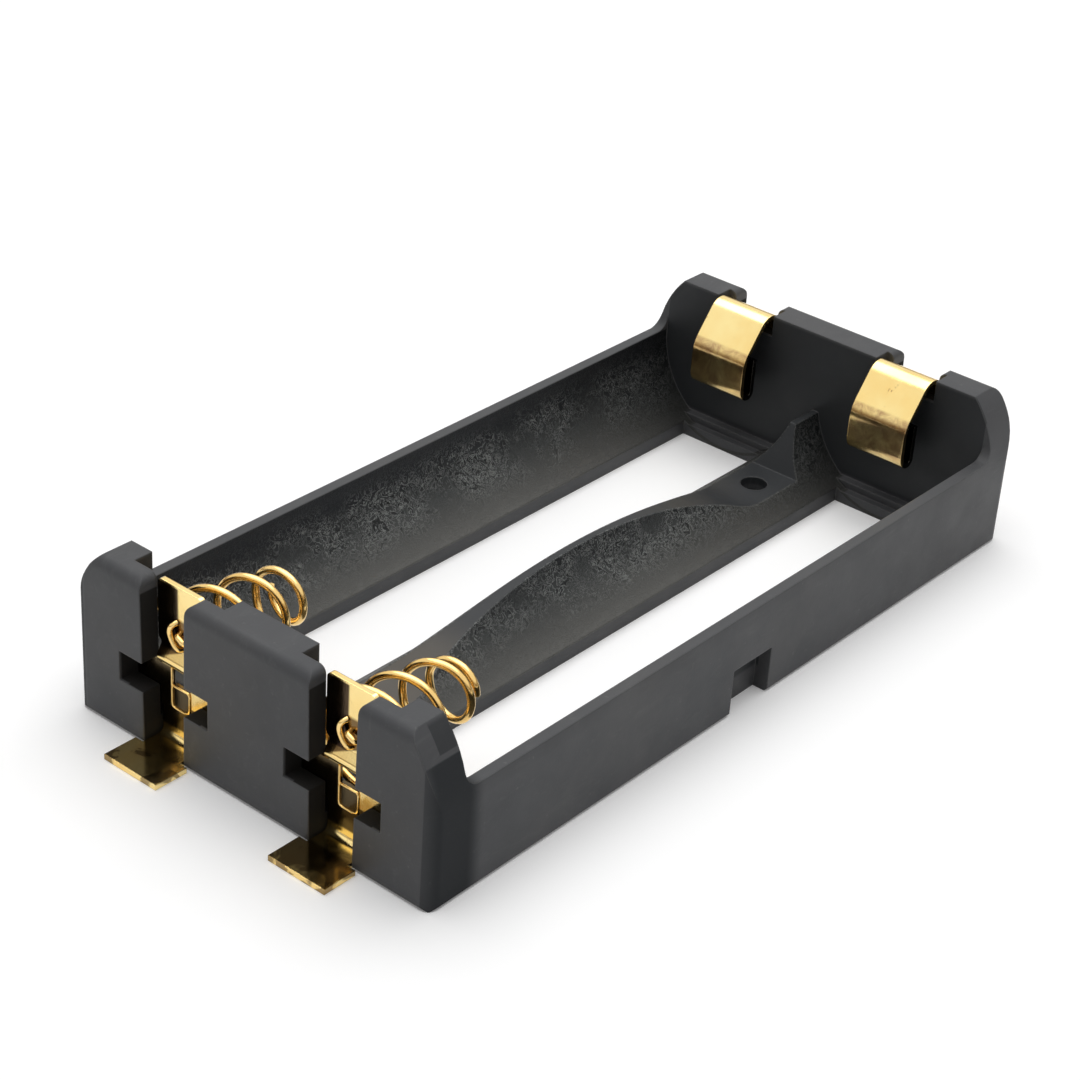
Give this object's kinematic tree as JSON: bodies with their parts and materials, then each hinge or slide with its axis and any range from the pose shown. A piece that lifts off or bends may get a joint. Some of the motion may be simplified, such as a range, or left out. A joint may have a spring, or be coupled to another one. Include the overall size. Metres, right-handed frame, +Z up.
{
  "type": "cylindrical cell holder",
  "caption": "Low open holder for round cells side by side, with folded gilt contacts, coil springs at one end and leaf springs at the other.",
  "frame": {"origin": "on the board, below the middle of the housing", "axes": "+X along the cells towards the leaf springs, +Y across the cells, +Z up from the board"},
  "size_m": [0.0884, 0.0398, 0.0156],
  "materials": {
    "housing": "dark grey moulded nylon, satin",
    "gilt": "gilt spring sheet, bright",
    "gilt_wire": "gilt spring wire, bright"
  },
  "bodies": {
    "housing": {"housing": "housing", "spring_contact_left": "gilt", "spring_contact_right": "gilt", "leaf_contact_left": "gilt", "leaf_contact_right": "gilt"},
    "coil_spring_left": {"coil_spring_left": "gilt_wire"},
    "coil_spring_right": {"coil_spring_right": "gilt_wire"}
  },
  "joints": [
    {"name": "compress_left", "type": "slide", "parent": "housing", "child": "coil_spring_left", "axis": [-1, 0, 0], "range_m": [0, 0.0065], "stiffness_N_per_m": 1000, "deforming": ["coil_spring_left"]},
    {"name": "compress_right", "type": "slide", "parent": "housing", "child": "coil_spring_right", "axis": [-1, 0, 0], "range_m": [0, 0.0065], "stiffness_N_per_m": 1000, "deforming": ["coil_spring_right"]}
  ]
}
